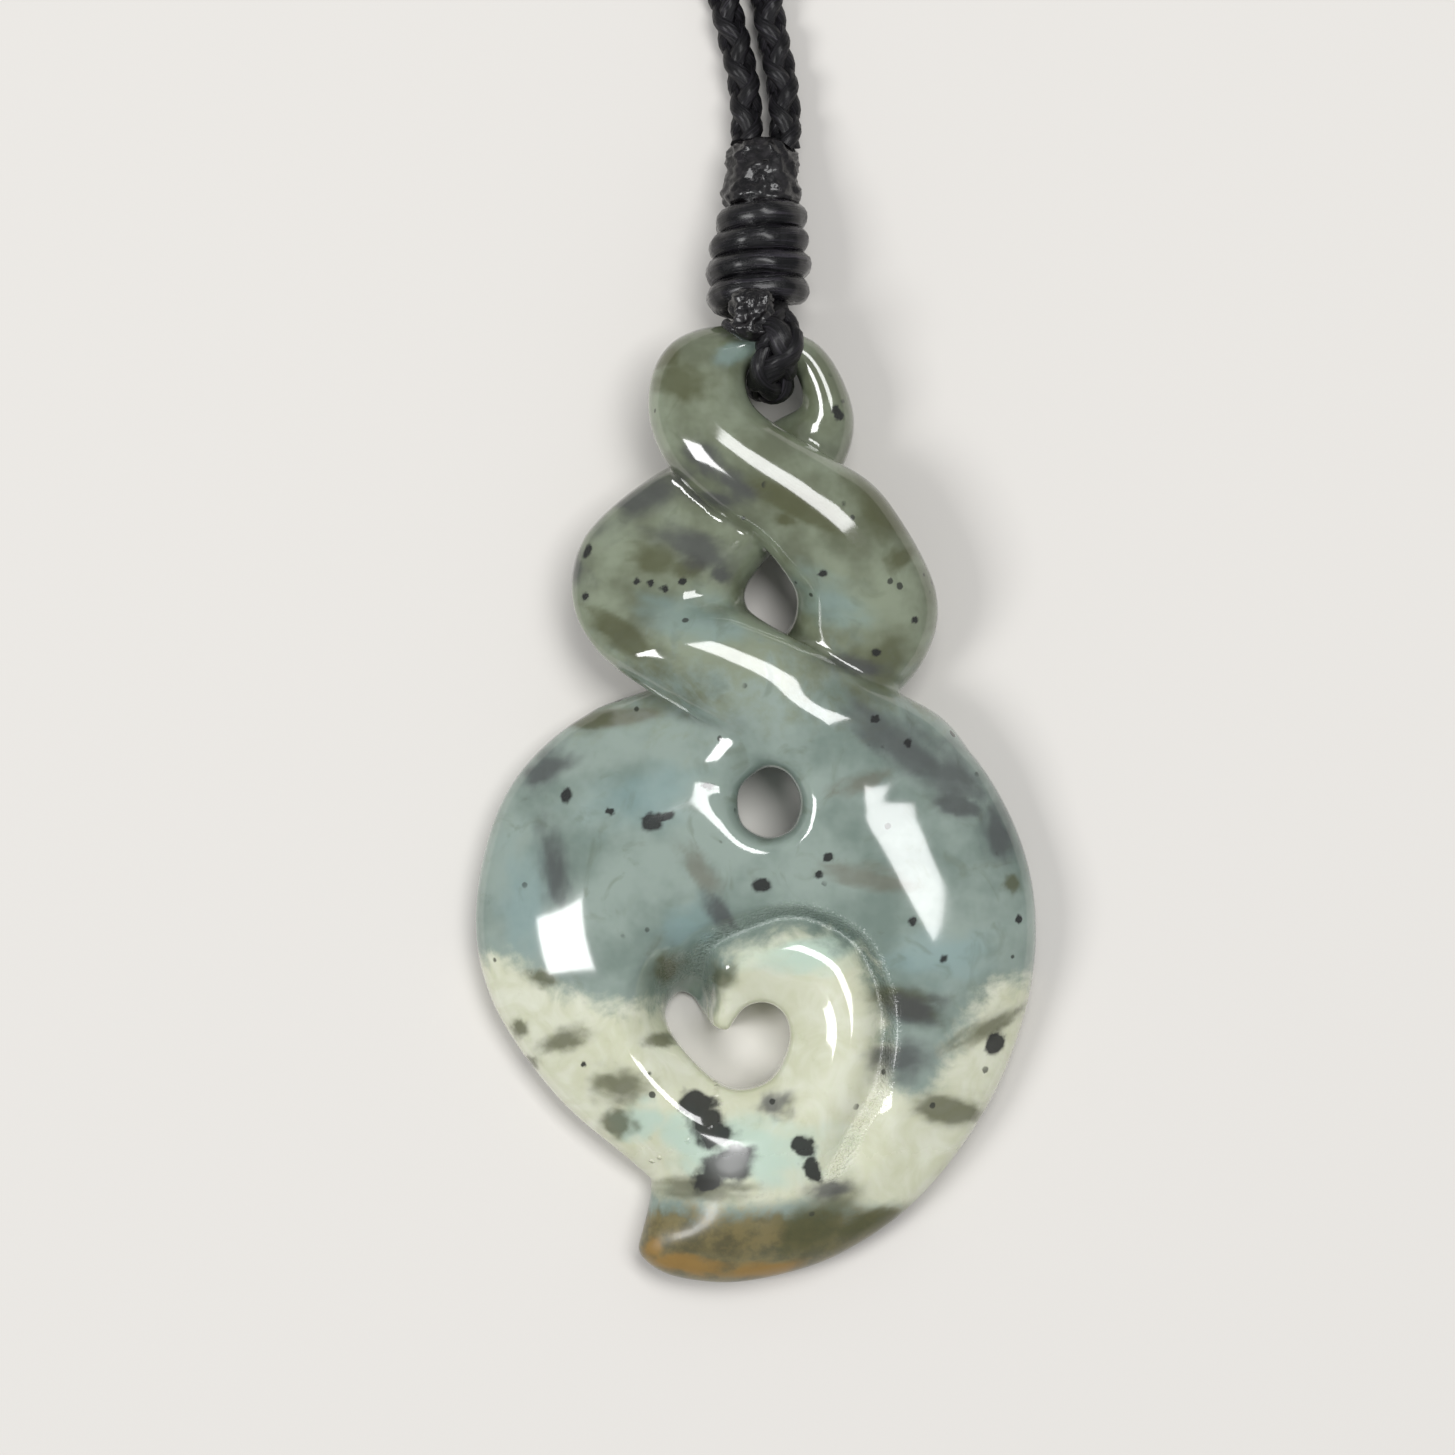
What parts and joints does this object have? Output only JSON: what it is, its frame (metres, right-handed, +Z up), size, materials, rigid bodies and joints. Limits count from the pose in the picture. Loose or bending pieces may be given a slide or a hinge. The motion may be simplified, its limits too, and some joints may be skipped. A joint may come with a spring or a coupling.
{
  "type": "koru twist pendant on a plaited cord",
  "caption": "Koru twist pendant carved from stone, its top ring bound to a plaited neck cord that lies in an open loop.",
  "frame": {"origin": "the middle of the disc's flat back, on which the pendant lies", "axes": "+X to the right seen from the carved front, +Y along the pendant towards the cord, +Z up out of the carved front"},
  "size_m": [0.1107, 0.2553, 0.0074],
  "materials": {
    "jade": "polished",
    "plaited_cord": "waxed",
    "binding_cord": "waxed",
    "melted_cord": "glossy, melted"
  },
  "bodies": {
    "root": {"jade_pendant": "jade", "cord_bight": "plaited_cord", "cord_binding": "binding_cord", "cord_collar": "melted_cord", "neck_cord_left": "plaited_cord", "neck_cord_right": "plaited_cord", "back_knot": "binding_cord"}
  },
  "joints": []
}
